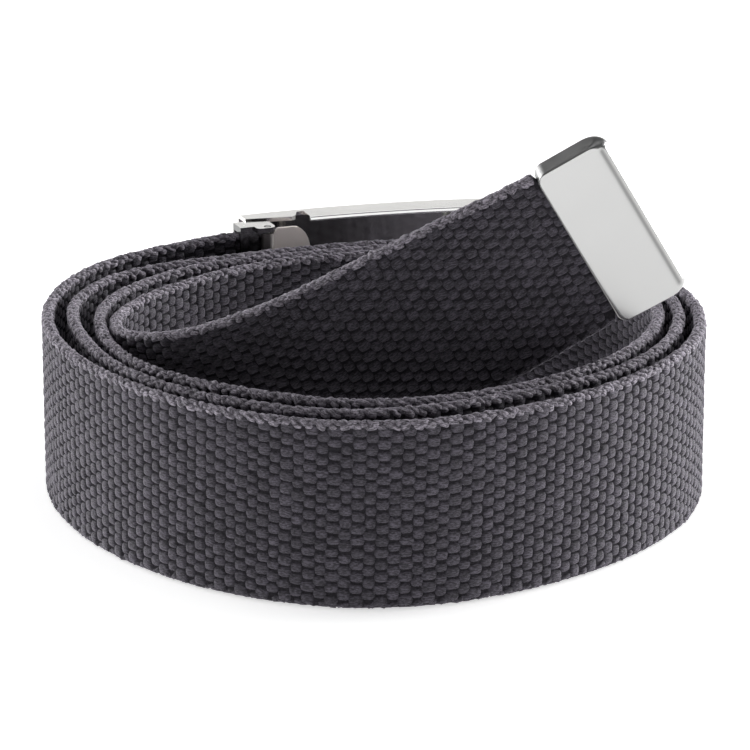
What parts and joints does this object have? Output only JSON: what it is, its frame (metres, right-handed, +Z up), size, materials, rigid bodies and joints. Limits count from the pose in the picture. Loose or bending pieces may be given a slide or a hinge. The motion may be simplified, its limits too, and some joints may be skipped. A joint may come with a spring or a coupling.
{
  "type": "belt",
  "caption": "Canvas webbing belt rolled into a coil on its edge, with a metal end tip on its rising free end and a bowed plate buckle with a clamp lever at the back.",
  "frame": {"origin": "on the floor under the middle of the box that holds the whole belt", "axes": "+X to the right and +Y to the back as the front is seen, +Z up; the free end rises across the front half of the coil towards +X, and the buckle stands at the back"},
  "size_m": [0.1378, 0.1494, 0.0839],
  "materials": {
    "canvas": "coarse woven canvas",
    "satin_metal": "satin",
    "plated_metal": "polished plating",
    "black_metal": "semi-gloss black",
    "warm_metal": "satin"
  },
  "bodies": {
    "belt": {"webbing": "canvas", "end_tip": "satin_metal", "buckle_plate": "plated_metal", "clamp_jaw": "black_metal", "hinge_pin": "plated_metal", "lock_roller": "plated_metal"},
    "lever": {"clamp_lever": "warm_metal"}
  },
  "joints": [
    {"name": "clamp_lever_hinge", "type": "hinge", "parent": "belt", "child": "lever", "pos_m": [-0.02317, 0.05109, 0.021], "axis": [0, 0, -1], "range_deg": [0, 30]}
  ]
}
